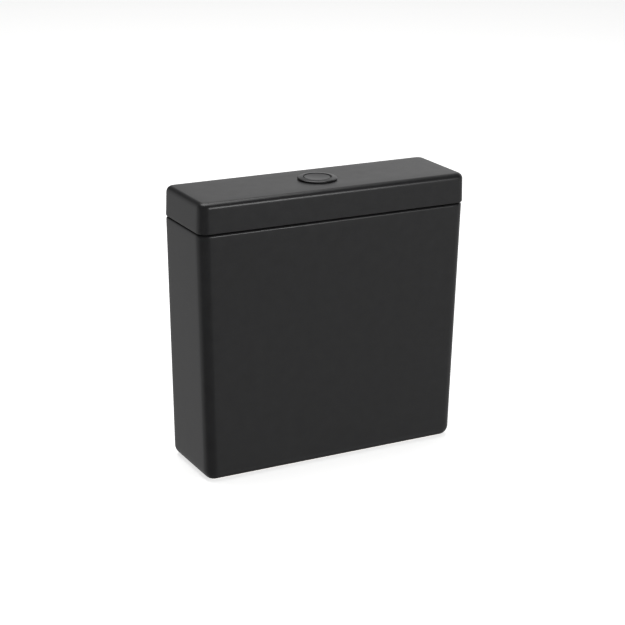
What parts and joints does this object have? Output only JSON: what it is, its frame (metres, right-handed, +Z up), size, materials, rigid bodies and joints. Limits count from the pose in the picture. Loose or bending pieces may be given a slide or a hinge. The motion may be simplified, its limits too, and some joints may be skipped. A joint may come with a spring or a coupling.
{
  "type": "toilet cistern",
  "caption": "Slim close-coupled toilet cistern: tapering matt black ceramic tank and flat lid with a round push button, complete flush and fill valves inside.",
  "frame": {"origin": "centre of the bounding box on the plane of the base, where the cistern stands on the pan", "axes": "+X along the width, to the right as seen from the front; -Y towards the user and +Y towards the wall; +Z up"},
  "size_m": [0.368, 0.1122, 0.357],
  "materials": {
    "black_ceramic": "matt black glaze with a soft sheen",
    "black_plastic": "satin black",
    "white_plastic": "moulded, satin",
    "grey_plastic": "moulded, satin",
    "blue_plastic": "moulded, satin",
    "black_rubber": "matt",
    "red_silicone": "soft silicone",
    "stainless_steel": "drawn and turned",
    "brass": "turned"
  },
  "bodies": {
    "tank": {"cistern_tank": "black_ceramic", "flush_valve_body": "white_plastic", "flush_valve_washer": "black_rubber", "flush_valve_backnut": "grey_plastic", "coupling_seal": "black_rubber", "flush_tower": "white_plastic", "lever_bridge": "white_plastic", "lever_pin_left": "stainless_steel", "lever_pin_right": "stainless_steel", "fill_valve_body": "white_plastic", "fill_valve_washer": "black_rubber", "fill_valve_backnut": "white_plastic", "inlet_filter": "grey_plastic", "fill_valve_head": "white_plastic", "valve_diaphragm": "black_rubber", "discharge_tube": "grey_plastic", "float_arm_pin": "stainless_steel", "coupling_bolt_left": "stainless_steel", "coupling_bolt_right": "stainless_steel", "bolt_seal_left": "black_rubber", "bolt_seal_right": "black_rubber", "bolt_washer_left": "stainless_steel", "bolt_washer_right": "stainless_steel", "clamp_washer_left": "stainless_steel", "clamp_washer_right": "stainless_steel", "coupling_nut_left": "brass", "coupling_nut_right": "brass"},
    "lid": {"cistern_lid": "black_ceramic", "lid_buffer_front_left": "black_rubber", "lid_buffer_front_right": "black_rubber", "lid_buffer_back_left": "black_rubber", "lid_buffer_back_right": "black_rubber", "button_bezel": "black_plastic", "bezel_gasket": "black_rubber", "bezel_locknut": "grey_plastic"},
    "button": {"push_button": "black_plastic", "button_spring": "stainless_steel", "button_clip": "stainless_steel", "push_rod": "white_plastic", "push_rod_nut": "brass"},
    "lever_left": {"flush_lever_left": "blue_plastic"},
    "lever_right": {"flush_lever_right": "blue_plastic"},
    "valve": {"overflow_tube": "grey_plastic", "lift_yoke": "blue_plastic", "valve_seal": "red_silicone", "seal_retainer": "grey_plastic", "flush_float": "blue_plastic"},
    "float": {"float_cup": "blue_plastic", "float_rod": "white_plastic", "float_rod_nut": "brass"},
    "arm": {"float_arm": "white_plastic"}
  },
  "joints": [
    {"name": "lid_lift", "type": "slide", "parent": "tank", "child": "lid", "axis": [0, 0, 1], "range_m": [0, 0.15]},
    {"name": "button_press", "type": "slide", "parent": "lid", "child": "button", "axis": [0, 0, -1], "range_m": [0, 0.006], "stiffness_N_per_m": 500, "springref_m": -0.004, "deforming": ["button_spring"]},
    {"name": "lever_left_rock", "type": "hinge", "parent": "tank", "child": "lever_left", "pos_m": [-0.02, 0, 0.268], "axis": [0, 1, 0], "range_deg": [0, 30]},
    {"name": "lever_right_rock", "type": "hinge", "parent": "tank", "child": "lever_right", "pos_m": [0.02, 0, 0.268], "axis": [0, 1, 0], "range_deg": [-30, 0]},
    {"name": "valve_lift", "type": "slide", "parent": "tank", "child": "valve", "axis": [0, 0, 1], "range_m": [0, 0.009]},
    {"name": "float_rise", "type": "slide", "parent": "tank", "child": "float", "axis": [0, 0, 1], "range_m": [0, 0.012]},
    {"name": "arm_swing", "type": "hinge", "parent": "tank", "child": "arm", "pos_m": [-0.104, 0, 0.266], "axis": [0, 1, 0], "range_deg": [0, 17.8]}
  ],
  "couplings": [
    {"joint": "lever_left_rock", "follows": "button_press", "rad_per_m": 87.2},
    {"joint": "lever_right_rock", "follows": "button_press", "rad_per_m": -87.2},
    {"joint": "valve_lift", "follows": "button_press", "ratio": 1.5},
    {"joint": "arm_swing", "follows": "float_rise", "rad_per_m": 25.74}
  ]
}
